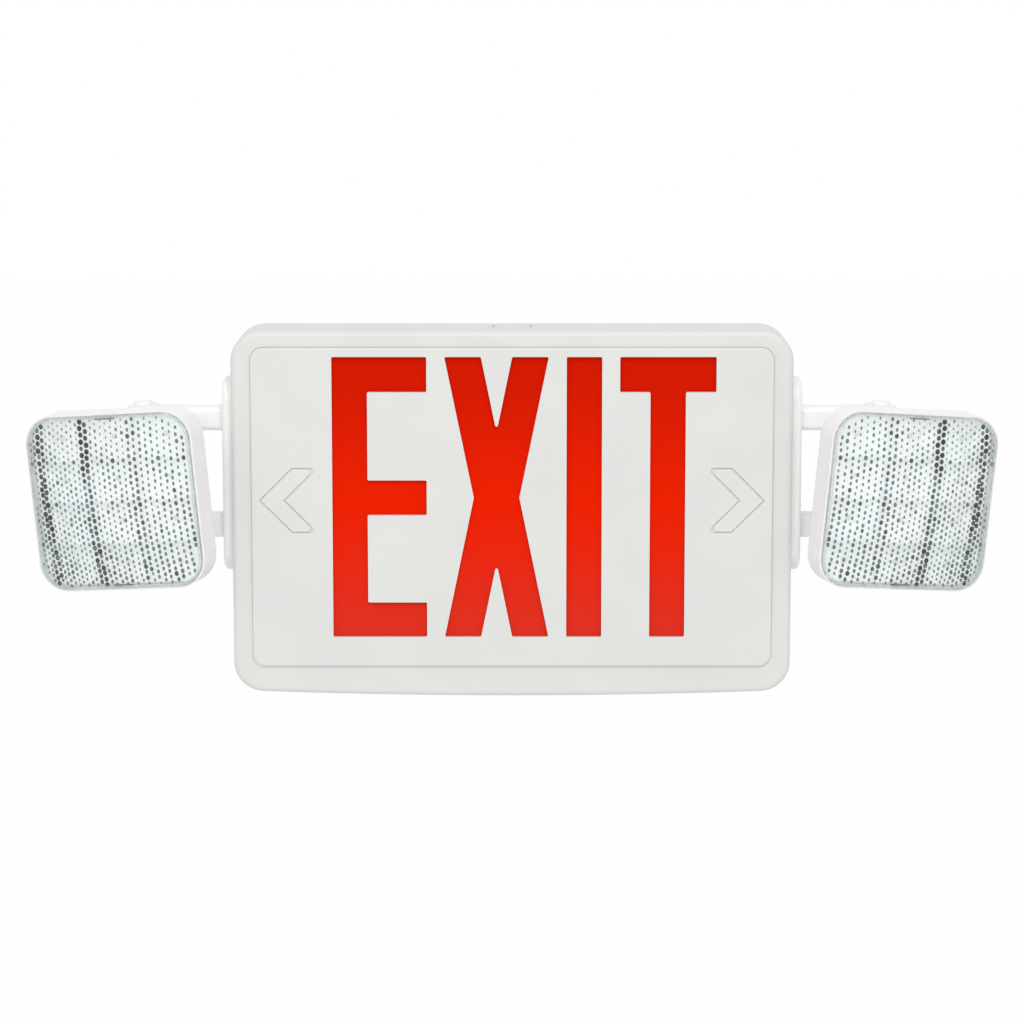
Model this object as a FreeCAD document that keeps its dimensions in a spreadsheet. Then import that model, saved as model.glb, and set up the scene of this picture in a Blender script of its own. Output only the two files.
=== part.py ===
import FreeCAD, Part
import math
import os
import Sketcher

# Emergency exit light: a shallow wall housing with a stencil face, and at each end a fork of two
# arms that carries a lamp head. The head swings on an upright pin and tilts on a cross pin.
# Frame: +X to the right, +Y into the wall, +Z up. The origin is the centre of the wall face.
# "level" is a distance forward from a piece's own XZ plane, so level 0 of the housing is the wall.

doc = FreeCAD.newDocument("ExitLight")
sheet = doc.addObject("Spreadsheet::Sheet", "Sizes")


class Size:
    """A number together with the sheet expression that gives it."""

    def __init__(self, number, text):
        self.number = number
        self.text = text

    def __add__(self, other):
        other = asSize(other)
        return Size(self.number + other.number, f"({self.text} + {other.text})")

    def __sub__(self, other):
        other = asSize(other)
        return Size(self.number - other.number, f"({self.text} - {other.text})")

    def __mul__(self, other):
        other = asSize(other)
        return Size(self.number * other.number, f"({self.text} * {other.text})")

    def __truediv__(self, other):
        other = asSize(other)
        return Size(self.number / other.number, f"({self.text} / {other.text})")

    def __radd__(self, other):
        return asSize(other) + self

    def __rsub__(self, other):
        return asSize(other) - self

    def __rmul__(self, other):
        return asSize(other) * self

    def __neg__(self):
        return Size(-self.number, f"(0 - {self.text})")


def asSize(value):
    return value if isinstance(value, Size) else Size(float(value), f"{float(value):.6f}")


def sine(angle):
    return Size(math.sin(math.radians(angle.number)), f"sin({angle.text})")


def cosine(angle):
    return Size(math.cos(math.radians(angle.number)), f"cos({angle.text})")


def rows(title, table):
    """Write one group of named sizes into the sheet and return them as Size values."""
    start = rows.next
    sheet.set(f"A{start}", title)
    made = {}
    for step, (name, number) in enumerate(table.items(), start + 1):
        sheet.set(f"A{step}", name)
        sheet.set(f"B{step}", str(number))
        sheet.setAlias(f"B{step}", name)
        made[name] = Size(float(number), f"Sizes.{name}")
    rows.next = start + len(table) + 2
    return type("Group", (), made)


rows.next = 1

housingSizes = {
    "housingWidth": 302,  # overall width of the housing
    "housingHeight": 197,  # height at the ends of the lower edge
    "housingDepth": 43,  # wall face to the front of the frame
    "bottomBow": 2.4,  # how far the lower edge bows down in the middle
    "cornerRadius": 16.5,  # outer corners seen from the front
    "frontRound": 3,  # rounding of the frame's front edge
    "backRound": 1.5,  # rounding of the rear edge
    "shellWall": 2.5,  # side walls of the back housing
    "backWall": 2.5,  # wall that lies on the building wall
    "frameSkirt": 9,  # depth of the front frame
    "frameWall": 2,  # side walls of the front frame
    "frameFace": 2.5,  # thickness of the frame's face
    "partingGap": 0.3,  # seam between frame and back housing
    "lipGap": 0.3,  # clearance of the lip inside the frame
    "lipThickness": 1.6,  # wall of the lip
    "lipHeight": 3,  # reach of the lip into the frame
    "lipRoot": 4,  # depth of the lip's root on the shell wall
}
housing = rows("Housing", housingSizes)

plateSizes = {
    "sideBorder": 10.5,  # housing end to the opening for the face plate
    "topBorder": 8.6,  # housing top to that opening
    "bottomBorder": 14.6,  # lower edge of the housing to that opening
    "plateCorner": 7,  # corner radius of the opening
    "plateGap": 0.15,  # clearance around the face plate
    "plateRise": 2,  # how far the plate stands proud of the frame
    "plateThickness": 2.5,  # face plate wall
    "plateRim": 2,  # side wall of the face plate
    "plateRound": 0.9,  # front edge of the face plate
    "flangeWidth": 2.5,  # flange that bears on the frame from behind
    "flangeThickness": 1.6,  # flange thickness
}
plate = rows("Face plate", plateSizes)
plateWidth = housing.housingWidth - plate.sideBorder * 2
plateHeight = housing.housingHeight - plate.topBorder - plate.bottomBorder
plateLift = (plate.bottomBorder - plate.topBorder) / 2

letterSizes = {
    "wordTop": 5.1,  # stencil openings from the top of the face plate's opening
    "wordFoot": 16.3,  # stencil openings from its bottom, which leaves them 152.4 high
    "letterRound": 0.8,  # corners of the stencil openings
    "letterStroke": 19,  # stroke of the straight letters
    "letterWidth": 50.8,  # width of the three-armed letter
    "crossWidth": 56,  # width of the crossed letter
    "crossStroke": 19.6,  # width of its strokes at the ends
    "crossWaist": 24.5,  # its width at mid height
    "barWidth": 51.6,  # width of the letter with the top bar
    "letterSpace": 9.6,  # space between letters
    "letterShift": 6.4,  # word's centre to the right of the housing's centre
    "chevronInset": 20.25,  # knock-out centre from the end of the face plate's opening
    "chevronLift": 7.2,  # knock-outs above the housing's centre
    "chevronHeight": 35.4,  # height of a knock-out
    "chevronStroke": 14.1,  # width of its arms, measured level
    "chevronBevel": 2.4,  # height of the cut corner at the arm ends
    "chevronCut": 0.8,  # width of that corner
    "grooveWidth": 0.7,  # thin line that outlines a knock-out
    "grooveDepth": 0.9,  # depth of that line
}
letter = rows("Stencil", letterSizes)
letterHeight = plateHeight - letter.wordTop - letter.wordFoot
letterLift = plateLift + (letter.wordFoot - letter.wordTop) / 2
chevronSpread = plateWidth / 2 - letter.chevronInset

insideSizes = {
    "sheetThickness": 1.2,  # red diffuser
    "sheetMargin": 8,  # diffuser beyond the word on each side
    "sheetGap": 0.3,  # clearance of the diffuser under the plate's rim
    "postInset": 9,  # posts from the edges of the light box
    "trayDepth": 13,  # light box depth
    "trayWall": 1.5,  # light box walls
    "trayCorner": 5,  # light box corner radius
    "stripWidth": 8,  # lamp strip
    "stripThickness": 1,  # lamp strip board
    "stripCount": 8,  # diodes on a strip
    "chipSize": 2.8,  # side of a diode
    "chipHeight": 1,  # height of a diode
    "postRadius": 3.5,  # posts under the light box
    "boardWidth": 84,  # charger board
    "boardHeight": 56,  # charger board
    "boardThickness": 1.6,  # charger board
    "boardLevel": 8,  # rear face of the board above the wall
    "boardInset": 67,  # board's centre from the left end of the housing
    "boardLift": 20,  # board's centre above the middle
    "standRadius": 3,  # stand-offs under the board
    "standInset": 5,  # stand-offs from the board's edges
    "coilWidth": 28,  # transformer core
    "coilHeight": 24,  # transformer core
    "coilDepth": 12.5,  # transformer core
    "coilAcross": -21,  # transformer from the board's centre
    "coilUp": 6.7,  # transformer from the board's centre
    "windingWidth": 16.8,  # winding inside the core
    "windingDepth": 7.5,  # winding inside the core
    "windingLevel": 2.5,  # winding above the board
    "windingRound": 3,  # rounding of the transformer's winding
    "relayWidth": 19,  # relay
    "relayHeight": 15,  # relay
    "relayDepth": 11,  # relay
    "relayRound": 0.8,  # relay edges
    "relayAcross": 11.8,  # relay from the board's centre
    "relayUp": 11.2,  # relay and capacitor from the board's centre
    "canRadius": 4,  # capacitor
    "canDepth": 12,  # capacitor
    "canNeck": 0.5,  # roll groove around the capacitor
    "canNeckLevel": 3,  # that groove above the board
    "canAcross": 30.2,  # capacitor from the board's centre
    "terminalWidth": 22,  # terminal block
    "terminalHeight": 9,  # terminal block
    "terminalDepth": 10,  # terminal block
    "terminalAcross": 16.8,  # terminal block from the board's centre
    "terminalUp": -19,  # terminal block from the board's centre
    "terminalPitch": 7.3,  # between its screw wells
    "terminalWell": 2.2,  # radius of a screw well
    "terminalWellDepth": 5,  # depth of a screw well
    "cellRadius": 7.2,  # one battery cell
    "cellLength": 49,  # one battery cell
    "cellGap": 0.2,  # between cells
    "cellInset": 63,  # battery's centre from the right end of the housing
    "cellLift": -12,  # battery's centre above the middle
    "cradleWall": 1.5,  # ribs around the battery
    "cradleGap": 0.3,  # clearance around the battery
    "cradleHeight": 9,  # ribs above the back wall
    "strapWidth": 12,  # strap over the battery
    "strapThickness": 1.2,  # strap over the battery
    "strapFoot": 9,  # length of each strap foot
}
inside = rows("Light box and electronics", insideSizes)
boardShift = inside.boardInset - housing.housingWidth / 2
cellShift = housing.housingWidth / 2 - inside.cellInset

wallSizes = {
    "fixingSpread": 88.9,  # distance between the two wall screw holes
    "fixingRadius": 2.3,  # wall screw hole
    "entryRadius": 11.1,  # wiring entry in the back and knock-out in the top
    "knockLevel": 17,  # top knock-out's centre from the wall
    "knockDepth": 1.2,  # groove depth of the knock-out
    "knockGroove": 1,  # groove width of the knock-out
}
wall = rows("Wall fixing and wiring", wallSizes)

buttonSizes = {
    "buttonShift": 60,  # button to the right of the middle
    "buttonLevel": 17,  # button axis from the wall
    "buttonRadius": 4.7,  # button
    "buttonGap": 0.3,  # clearance around the button
    "buttonStand": 2.6,  # button below the housing
    "buttonTravel": 2,  # stroke of the button
    "collarRadius": 6.5,  # collar that keeps the button in
    "collarThickness": 1.5,  # collar
    "stemRadius": 1.8,  # stem that meets the switch
    "springRadius": 3.4,  # middle of the spring wire's turn
    "springWire": 0.4,  # radius of the spring wire
    "springLength": 8,  # spring between collar and switch
    "springTurns": 4,  # turns of the spring
    "springSeat": 0.15,  # play at each end of the spring
    "switchWidth": 12,  # switch body
    "switchHeight": 6,  # switch body
    "shelfThickness": 2,  # shelf that holds the switch
    "indicatorSpread": 16,  # indicator to the right of the button
    "indicatorRadius": 2.5,  # indicator lens
    "indicatorStand": 1,  # indicator lens below the housing
    "indicatorLength": 7,  # length of the indicator lens
}
button = rows("Test button and indicator", buttonSizes)

forkSizes = {
    "forkLift": 19.65,  # fork's centre above the housing's centre
    "forkLevel": 19.5,  # arm centres from the wall
    "sideLength": 105.5,  # height of the side plate
    "sideDepth": 30,  # depth of the side plate
    "sideThickness": 5.6,  # thickness of the side plate
    "sideDrop": 0.9,  # side plate's centre below the fork's centre
    "sideCorner": 12,  # corners of the side plate
    "sideRound": 2.8,  # outer edge of the side plate
    "armSpacing": 58.7,  # upper arm to lower arm
    "armHeight": 12.8,  # arm section
    "armDepth": 15,  # arm section
    "armRound": 3,  # arm section corners
    "armGap": 0.2,  # clearance of an arm in the side plate
    "rootMargin": 2.5,  # root flange beyond the arm
    "rootThickness": 2.6,  # root flange
    "pinReach": 46.2,  # housing end to the pin at mid height
    "pinLean": 5,  # pin leans outward at the top
    "pinRadius": 3,  # hinge pin
    "pinGap": 0.05,  # running clearance of a pin
    "eyeRadius": 8.5,  # eye at the end of an arm
    "eyeMargin": 0.8,  # eye beyond the arm above and below
    "faceGap": 0.3,  # clearance between eye and knuckle
    "capRadius": 5,  # head of a pin
    "capThickness": 1.8,  # head of a pin
    "fixRadius": 1.5,  # side plate screw
    "fixHead": 2.8,  # head radius of that screw
    "fixHeadHeight": 2,  # head height of that screw
    "fixLength": 6.5,  # length of that screw
    "fixGap": 0.1,  # clearance round that screw
    "fixSpread": 24,  # distance between the two screws
    "leadRadius": 4,  # hole for the lamp leads
}
fork = rows("Fork", forkSizes)
eyeLength = fork.armHeight + fork.eyeMargin * 2

knuckleSizes = {
    "barrelRadius": 8.5,  # barrel around the pin
    "lugWidth": 14,  # lug between the head's ears
    "lugRadius": 7.5,  # round end of the lug
    "lugRoot": 15,  # half height of the lug at the barrel
    "crossReach": 18,  # pin to cross pin
    "crossRadius": 2.5,  # cross pin
}
knuckle = rows("Knuckle", knuckleSizes)

headSizes = {
    "headSwing": 16.7,  # outward swing at rest
    "headTilt": 1,  # downward tilt at rest
    "headDrop": 7.8,  # head's centre below the cross pin
    "headWidth": 95.6,  # side of the square shell
    "headCorner": 16,  # shell corners seen from the front
    "headWall": 2,  # shell wall
    "headSide": 14,  # depth of the straight side
    "backRise": 8,  # depth of the shell behind the straight side
    "shellRound": 6.5,  # rounding from the side into the back
    "backStep": 11,  # cross pin to the flat back
    "earThickness": 4,  # ear of the shell
    "earGap": 0.3,  # clearance between ear and lug
    "earRadius": 7,  # round end of an ear
    "earRoot": 14,  # half height of an ear at the shell
    "lensInset": 0.9,  # edge of the lens from the shell's side
    "lensThickness": 2,  # lens
    "lensRound": 1.2,  # front edge of the lens
    "spigotGap": 0.2,  # clearance of the lens wall in the shell
    "spigotWall": 1.2,  # wall behind the lens
    "spigotDepth": 3,  # wall behind the lens
    "slotLength": 11,  # snap slot at the lens edge
    "slotWidth": 0.8,  # snap slot
    "slotInset": 0.7,  # snap slot from the lens edge
    "cellColumns": 3,  # reflector cells across
    "cellRows": 4,  # reflector cells upward
    "cupDepth": 6,  # depth of a reflector cell
    "cupSlope": 52,  # slope of the cell walls from the axis, in degrees
    "cupRidge": 1,  # ridge between cells
    "reflectorThickness": 7,  # reflector
    "reflectorGap": 0.5,  # clearance of the reflector in the shell
    "lampBoardThickness": 1.6,  # lamp board
    "lampBoardInset": 6,  # lamp board inside the reflector's outline
}
head = rows("Lamp head", headSizes)
lensWidth = head.headWidth - head.lensInset * 2


FRONT = "XZ_Plane"
TOP = "XY_Plane"
SIDE = "YZ_Plane"
OVERCUT = asSize(2)  # how far a cutting profile runs past a surface
TOUCH = 0.01  # edges closer than this to a level lie on it
subparts = []
cuts = []


# Drawing helpers

def body(label, placement=None):
    made = doc.addObject("PartDesign::Body", label)
    made.Label = label
    subparts.append((made, placement))
    return made


def sketch(owner, plane, level=None):
    made = owner.newObject("Sketcher::SketchObject", "Profile")
    base = [item for item in owner.Origin.OriginFeatures if item.Role == plane][0]
    made.AttachmentSupport = [(base, "")]
    made.MapMode = "FlatFace"
    if level is not None:
        made.setExpression("AttachmentOffset.Base.z", asSize(level).text)
    return made


def fix(profile, kind, *rest):
    """Add one dimension whose value is the last argument, bound to the sheet."""
    value = asSize(rest[-1])
    index = profile.addConstraint(Sketcher.Constraint(kind, *rest[:-1], value.number))
    profile.setExpression(f"Constraints[{index}]", value.text)


def pinX(profile, line, end, value):
    fix(profile, "DistanceX", -1, 1, line, end, value)


def pinY(profile, line, end, value):
    fix(profile, "DistanceY", -1, 1, line, end, value)


def vector(x, y):
    return FreeCAD.Vector(asSize(x).number, asSize(y).number, 0)


def polygon(profile, points):
    first = profile.GeometryCount
    count = len(points)
    for step in range(count):
        ends = (vector(*points[step]), vector(*points[(step + 1) % count]))
        profile.addGeometry(Part.LineSegment(*ends), False)
    for step in range(count):
        following = first + (step + 1) % count
        profile.addConstraint(Sketcher.Constraint("Coincident", first + step, 2, following, 1))
    for step, (x, y) in enumerate(points):
        pinX(profile, first + step, 1, x)
        pinY(profile, first + step, 1, y)


def circle(profile, x, y, radius):
    radius = asSize(radius)
    shape = Part.Circle(vector(x, y), FreeCAD.Vector(0, 0, 1), radius.number)
    index = profile.addGeometry(shape, False)
    pinX(profile, index, 3, x)
    pinY(profile, index, 3, y)
    fix(profile, "Radius", index, radius)


def cornerArc(profile, x, y, radius, quarter):
    """A quarter circle about (x, y); quarter 0 is top right and they run anticlockwise."""
    start = quarter * math.pi / 2
    ring = Part.Circle(vector(x, y), FreeCAD.Vector(0, 0, 1), asSize(radius).number)
    return profile.addGeometry(Part.ArcOfCircle(ring, start, start + math.pi / 2), False)


def joinTangent(profile, pairs):
    for one, end, other, start in pairs:
        profile.addConstraint(Sketcher.Constraint("Tangent", one, end, other, start))


def roundedBox(profile, x, y, width, height, radius, bow=None):
    """A rectangle with round corners about (x, y); bow makes its lower edge an arc."""
    left, right = x - width / 2, x + width / 2
    low, high = y - height / 2, y + height / 2
    inLeft, inRight = left + radius, right - radius
    inLow, inHigh = low + radius, high - radius

    def line(x0, y0, x1, y1):
        return profile.addGeometry(Part.LineSegment(vector(x0, y0), vector(x1, y1)), False)

    rightSide = line(right, inLow, right, inHigh)
    topRight = cornerArc(profile, inRight, inHigh, radius, 0)
    topSide = line(inRight, high, inLeft, high)
    topLeft = cornerArc(profile, inLeft, inHigh, radius, 1)
    leftSide = line(left, inHigh, left, inLow)
    lowLeft = cornerArc(profile, inLeft, inLow, radius, 2)
    if bow is None:
        lowSide = line(inLeft, low, inRight, low)
    else:
        half = width / 2 - radius
        bowRadius = half * half / (bow * 2) + bow / 2
        bowCentre = low - bow + bowRadius
        reach = math.asin(half.number / bowRadius.number)
        ring = Part.Circle(vector(x, bowCentre), FreeCAD.Vector(0, 0, 1), bowRadius.number)
        down = 1.5 * math.pi
        lowSide = profile.addGeometry(Part.ArcOfCircle(ring, down - reach, down + reach), False)
    lowRight = cornerArc(profile, inRight, inLow, radius, 3)
    joinTangent(profile, [
        (rightSide, 2, topRight, 1), (topRight, 2, topSide, 1),
        (topSide, 2, topLeft, 1), (topLeft, 2, leftSide, 1),
        (leftSide, 2, lowLeft, 1), (lowLeft, 2, lowSide, 1),
        (lowSide, 2, lowRight, 1), (lowRight, 2, rightSide, 1),
    ])
    for side in (rightSide, leftSide):
        profile.addConstraint(Sketcher.Constraint("Vertical", side))
    profile.addConstraint(Sketcher.Constraint("Horizontal", topSide))
    fix(profile, "Radius", topRight, radius)
    for corner in (topLeft, lowLeft, lowRight):
        profile.addConstraint(Sketcher.Constraint("Equal", topRight, corner))
    pinX(profile, rightSide, 1, right)
    pinX(profile, leftSide, 1, left)
    pinY(profile, topSide, 1, high)
    if bow is None:
        profile.addConstraint(Sketcher.Constraint("Horizontal", lowSide))
        pinY(profile, lowSide, 1, low)
    else:
        fix(profile, "Radius", lowSide, bowRadius)
        pinY(profile, lowSide, 3, bowCentre)


def pad(owner, profile, length, both=False, reversed=False):
    length = asSize(length)
    made = owner.newObject("PartDesign::Pad", "Pad")
    made.Profile = profile
    made.Length = length.number
    made.setExpression("Length", length.text)
    made.Midplane = both
    made.Reversed = reversed
    return made


def pocket(owner, profile, length, both=False, reversed=False):
    length = asSize(length)
    made = owner.newObject("PartDesign::Pocket", "Pocket")
    made.Profile = profile
    made.Length = length.number
    made.setExpression("Length", length.text)
    made.Midplane = both
    made.Reversed = reversed
    cuts.append(made)
    return made


def turn(owner, profile, kind="Revolution"):
    """Revolve a profile about the construction line drawn first in it."""
    made = owner.newObject(f"PartDesign::{kind}", kind)
    made.Profile = profile
    made.ReferenceAxis = (profile, ["Axis0"])
    made.Angle = 360
    if kind == "Groove":
        cuts.append(made)
    return made


def axisLine(profile, start, end):
    index = profile.addGeometry(Part.LineSegment(vector(*start), vector(*end)), True)
    for place, (x, y) in ((1, start), (2, end)):
        pinX(profile, index, place, x)
        pinY(profile, index, place, y)


def roundEdges(owner, radius, wanted):
    doc.recompute()
    base = owner.Tip
    names = [f"Edge{n}" for n, edge in enumerate(base.Shape.Edges, 1) if wanted(edge)]
    made = owner.newObject("PartDesign::Fillet", "Round")
    made.Base = (base, names)
    made.Radius = radius.number
    made.setExpression("Radius", radius.text)
    return made


def hollowOut(owner, thickness, level):
    """Open the flat face at a level and leave an even wall inside the other faces."""
    doc.recompute()
    base = owner.Tip
    names = [f"Face{n}" for n, face in enumerate(base.Shape.Faces, 1) if inPlaneY(face, level)]
    made = owner.newObject("PartDesign::Thickness", "Shell")
    made.Base = (base, names)
    made.Value = thickness.number
    made.setExpression("Value", thickness.text)
    made.Reversed = True
    made.Join = 1
    cuts.append(made)
    return made


def inPlaneY(edge, level):
    box = edge.BoundBox
    return abs(box.YMin + level.number) < TOUCH and abs(box.YMax + level.number) < TOUCH


def housingOutline(profile, inset):
    roundedBox(profile, asSize(0), asSize(0), housing.housingWidth - inset * 2,
               housing.housingHeight - inset * 2, housing.cornerRadius - inset,
               housing.bottomBow)


def plateOutline(profile, grow):
    roundedBox(profile, asSize(0), plateLift, plateWidth + grow * 2,
               plateHeight + grow * 2, plate.plateCorner + grow)


def block(owner, plane, level, x, y, width, height, length, radius=None):
    """A straight block about (x, y) in a plane, from a level forward."""
    profile = sketch(owner, plane, level)
    if radius is None:
        left, right = x - width / 2, x + width / 2
        low, high = y - height / 2, y + height / 2
        polygon(profile, [(left, low), (right, low), (right, high), (left, high)])
    else:
        roundedBox(profile, x, y, width, height, radius)
    return pad(owner, profile, length)


# Levels shared by several pieces

shellFront = housing.housingDepth - housing.frameSkirt - housing.partingGap
frameBack = housing.housingDepth - housing.frameSkirt
frameInner = housing.housingDepth - housing.frameFace
plateFront = housing.housingDepth + plate.plateRise
plateInner = plateFront - plate.plateThickness
flangeBack = frameInner - plate.flangeThickness
trayFront = plateInner - inside.sheetThickness
trayBack = trayFront - inside.trayDepth
wordWidth = (letter.letterWidth + letter.crossWidth + letter.letterStroke + letter.barWidth
             + letter.letterSpace * 3)
sheetWidth = wordWidth + inside.sheetMargin * 2
sheetHeight = plateHeight - (plate.plateGap + plate.plateRim + inside.sheetGap) * 2

bowHalf = housing.housingWidth / 2 - housing.cornerRadius
bowFlat = bowHalf * bowHalf / (housing.bottomBow * 2)


def undersideAt(x):
    """Height of the bowed underside at a distance x from the middle."""
    return x * x / (bowFlat * 2) - housing.housingHeight / 2 - housing.bottomBow


buttonFloor = undersideAt(button.buttonShift)
collarLow = buttonFloor + housing.shellWall + button.buttonGap
collarHigh = collarLow + button.collarThickness
switchLow = collarHigh + button.springLength
switchHigh = switchLow + button.switchHeight
indicatorShift = button.buttonShift + button.indicatorSpread
boardFront = inside.boardLevel + inside.boardThickness
cellPitch = inside.cellRadius * 2 + inside.cellGap
cellLevel = housing.backWall + inside.cellRadius + inside.cradleGap
packWidth = cellPitch * 2 + inside.cellRadius * 2


# Back housing

def makeBackHousing():
    shell = body("back_housing")
    outline = sketch(shell, FRONT)
    housingOutline(outline, asSize(0))
    pad(shell, outline, shellFront)
    roundEdges(shell, housing.backRound, lambda edge: inPlaneY(edge, asSize(0)))

    cavity = sketch(shell, FRONT, shellFront)
    housingOutline(cavity, housing.shellWall)
    pocket(shell, cavity, shellFront - housing.backWall)

    lipInset = housing.frameWall + housing.lipGap
    root = sketch(shell, FRONT, shellFront - housing.lipRoot)
    housingOutline(root, housing.shellWall / 2)
    housingOutline(root, lipInset + housing.lipThickness)
    pad(shell, root, housing.lipRoot)
    lip = sketch(shell, FRONT, shellFront)
    housingOutline(lip, lipInset)
    housingOutline(lip, lipInset + housing.lipThickness)
    pad(shell, lip, housing.lipHeight)

    posts = sketch(shell, FRONT, housing.backWall / 2)
    for across in (-1, 1):
        for upward in (-1, 1):
            circle(posts, letter.letterShift + (sheetWidth / 2 - inside.postInset) * across,
                   plateLift + (sheetHeight / 2 - inside.postInset) * upward,
                   inside.postRadius)
    pad(shell, posts, trayBack - housing.backWall / 2)

    stands = sketch(shell, FRONT, housing.backWall / 2)
    for across in (-1, 1):
        for upward in (-1, 1):
            circle(stands,
                   boardShift + (inside.boardWidth / 2 - inside.standInset) * across,
                   inside.boardLift + (inside.boardHeight / 2 - inside.standInset) * upward,
                   inside.standRadius)
    pad(shell, stands, inside.boardLevel - housing.backWall / 2)

    cradle = sketch(shell, FRONT, housing.backWall / 2)
    innerWidth = packWidth + inside.cradleGap * 2
    innerHeight = inside.cellLength + inside.cradleGap * 2
    for grow in (asSize(0), inside.cradleWall):
        width, height = innerWidth + grow * 2, innerHeight + grow * 2
        left, right = cellShift - width / 2, cellShift + width / 2
        low, high = inside.cellLift - height / 2, inside.cellLift + height / 2
        polygon(cradle, [(left, low), (right, low), (right, high), (left, high)])
    pad(shell, cradle, inside.cradleHeight + housing.backWall / 2)

    shelf = sketch(shell, FRONT, housing.backWall / 2)
    shelfMiddle = switchHigh + button.shelfThickness / 2
    halfShelf = button.switchWidth / 2 + button.shelfThickness
    left, right = button.buttonShift - halfShelf, button.buttonShift + halfShelf
    low, high = shelfMiddle - button.shelfThickness / 2, shelfMiddle + button.shelfThickness / 2
    polygon(shelf, [(left, low), (right, low), (right, high), (left, high)])
    pad(shell, shelf, button.buttonLevel + button.switchWidth / 2 - housing.backWall / 2)

    holes = sketch(shell, FRONT, housing.backWall)
    for across in (-1, 1):
        circle(holes, wall.fixingSpread / 2 * across, asSize(0), wall.fixingRadius)
    circle(holes, asSize(0), asSize(0), wall.entryRadius)
    pocket(shell, holes, housing.backWall)

    underside = sketch(shell, TOP, buttonFloor - OVERCUT)
    circle(underside, button.buttonShift, -button.buttonLevel,
           button.buttonRadius + button.buttonGap)
    circle(underside, indicatorShift, -button.buttonLevel, button.indicatorRadius)
    pocket(shell, underside, housing.shellWall + OVERCUT * 2, reversed=True)

    knockOut = sketch(shell, TOP, housing.housingHeight / 2)
    circle(knockOut, asSize(0), -wall.knockLevel, wall.entryRadius)
    circle(knockOut, asSize(0), -wall.knockLevel, wall.entryRadius - wall.knockGroove)
    pocket(shell, knockOut, wall.knockDepth)

    ends = sketch(shell, SIDE)
    for upward in (-1, 1):
        circle(ends, -fork.forkLevel, fork.forkLift + fork.fixSpread / 2 * upward,
               fork.fixRadius + fork.fixGap)
    circle(ends, -fork.forkLevel, fork.forkLift, fork.leadRadius)
    pocket(shell, ends, housing.housingWidth + OVERCUT, both=True)


# Front frame and face plate

def makeFrontFrame():
    frame = body("front_frame")
    outline = sketch(frame, FRONT, frameBack)
    housingOutline(outline, asSize(0))
    pad(frame, outline, housing.frameSkirt)
    roundEdges(frame, housing.frontRound, lambda edge: inPlaneY(edge, housing.housingDepth))

    cavity = sketch(frame, FRONT, frameInner)
    housingOutline(cavity, housing.frameWall)
    pocket(frame, cavity, housing.frameSkirt - housing.frameFace)

    opening = sketch(frame, FRONT, housing.housingDepth)
    plateOutline(opening, asSize(0))
    pocket(frame, opening, housing.frameSkirt)


def letterShapes():
    """Outlines of the four stencil openings, left to right."""
    low = letterLift - letterHeight / 2
    high = letterLift + letterHeight / 2
    middle = letterLift
    stroke = letter.letterStroke
    halfStroke = stroke / 2

    left = letter.letterShift - wordWidth / 2
    right = left + letter.letterWidth
    stem = left + stroke
    armed = [
        (left, low), (right, low), (right, low + stroke), (stem, low + stroke),
        (stem, middle - halfStroke), (right, middle - halfStroke),
        (right, middle + halfStroke), (stem, middle + halfStroke),
        (stem, high - stroke), (right, high - stroke), (right, high), (left, high),
    ]

    left = right + letter.letterSpace
    right = left + letter.crossWidth
    centre = left + letter.crossWidth / 2
    notch = ((letter.crossWidth - letter.crossStroke * 2) / 2 * letterHeight
             / (letter.crossWidth - letter.crossWaist))
    crossed = [
        (left, low), (left + letter.crossStroke, low), (centre, low + notch),
        (right - letter.crossStroke, low), (right, low),
        (centre + letter.crossWaist / 2, middle), (right, high),
        (right - letter.crossStroke, high), (centre, high - notch),
        (left + letter.crossStroke, high), (left, high),
        (centre - letter.crossWaist / 2, middle),
    ]

    left = right + letter.letterSpace
    right = left + stroke
    upright = [(left, low), (right, low), (right, high), (left, high)]

    left = right + letter.letterSpace
    right = left + letter.barWidth
    centre = left + letter.barWidth / 2
    barred = [
        (centre - halfStroke, low), (centre + halfStroke, low),
        (centre + halfStroke, high - stroke), (right, high - stroke), (right, high),
        (left, high), (left, high - stroke), (centre - halfStroke, high - stroke),
    ]
    return [armed, crossed, upright, barred]


def chevronShape(way, inset):
    """Outline of an arrow head that points left (way -1) or right (way 1), drawn inset."""
    slope = inset * math.sqrt(2)
    half = letter.chevronHeight / 2
    span = half + letter.chevronStroke
    edge = half - inset
    bevel = letter.chevronBevel
    tip = span / 2 - slope
    notch = span / 2 - letter.chevronStroke + slope
    cutEnd = notch - edge + bevel
    points = [
        (tip, asSize(0)), (tip - edge, edge), (cutEnd + letter.chevronCut, edge), (cutEnd, edge - bevel),
        (notch, asSize(0)),
        (cutEnd, bevel - edge), (cutEnd + letter.chevronCut, -edge), (tip - edge, -edge),
    ]
    centre = chevronSpread * way
    return [(centre + x * way, letter.chevronLift + y) for x, y in points]


def isThroughEdge(edge):
    """True for a straight edge that runs square through the face plate's wall."""
    box = edge.BoundBox
    level = abs(box.YLength - plate.plateThickness.number) < TOUCH
    return level and box.XLength < TOUCH and box.ZLength < TOUCH


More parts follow.
